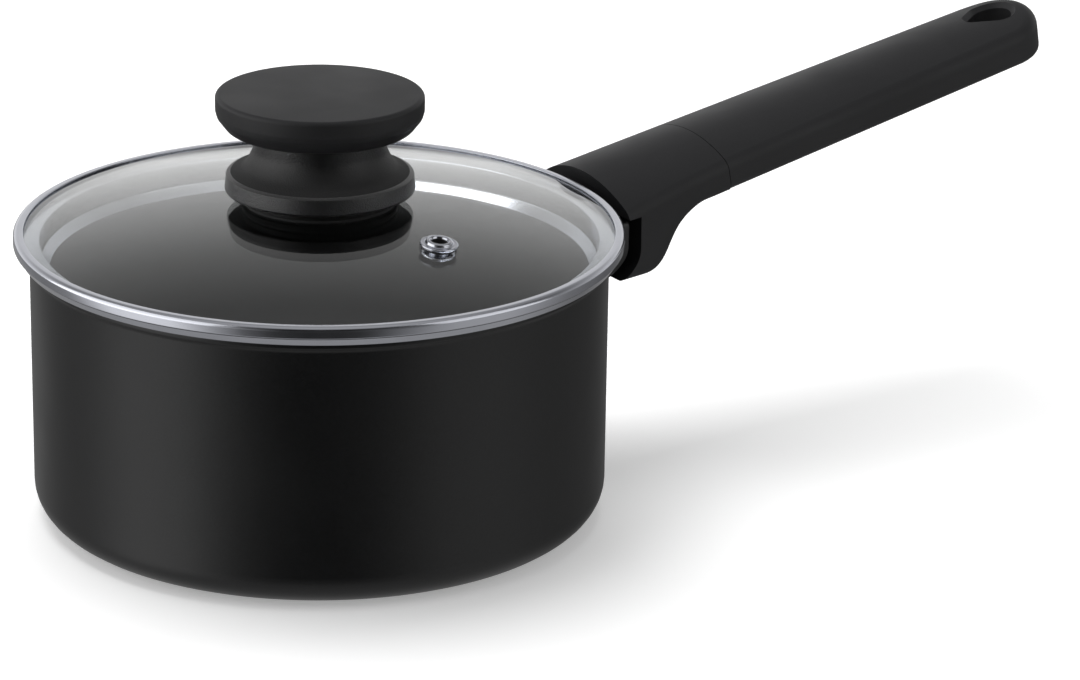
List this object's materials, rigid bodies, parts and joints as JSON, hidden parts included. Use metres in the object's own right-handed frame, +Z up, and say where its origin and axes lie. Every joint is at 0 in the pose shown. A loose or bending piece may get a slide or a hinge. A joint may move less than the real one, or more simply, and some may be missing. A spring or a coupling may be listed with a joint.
{
  "type": "saucepan",
  "caption": "Straight-walled saucepan with a rising stick handle, a domed glass lid in a steel band and a mushroom-shaped lid knob.",
  "frame": {"origin": "centre of the base's underside, on the table", "axes": "+X towards the handle, +Z up, lid in its rest place on the rim"},
  "size_m": [0.345, 0.174, 0.1235],
  "materials": {
    "coated_aluminium": "satin",
    "steel": "brushed",
    "polished_steel": "polished",
    "handle_plastic": "soft-touch matte",
    "knob_plastic": "satin",
    "tempered_glass": "clear",
    "silicone": "matte",
    "brass": "machined"
  },
  "bodies": {
    "pan": {"pan_body": "coated_aluminium", "induction_plate": "steel", "handle_bracket": "steel", "flame_guard": "knob_plastic", "handle_heel": "handle_plastic", "handle_grip": "handle_plastic", "handle_tang": "steel", "tang_rivets": "steel", "handle_screws": "steel"},
    "lid": {"lid_glass": "tempered_glass", "lid_ring": "polished_steel", "vent_seal": "silicone", "vent_eyelet": "polished_steel", "vent_collar": "polished_steel", "knob_base": "knob_plastic", "knob_cap": "handle_plastic", "knob_insert": "brass", "knob_gasket": "silicone", "knob_grommet": "silicone", "knob_washer": "steel", "knob_screw": "steel"}
  },
  "joints": [
    {"name": "lid_lift", "type": "slide", "parent": "pan", "child": "lid", "axis": [0, 0, 1], "range_m": [0, 0.12]}
  ]
}
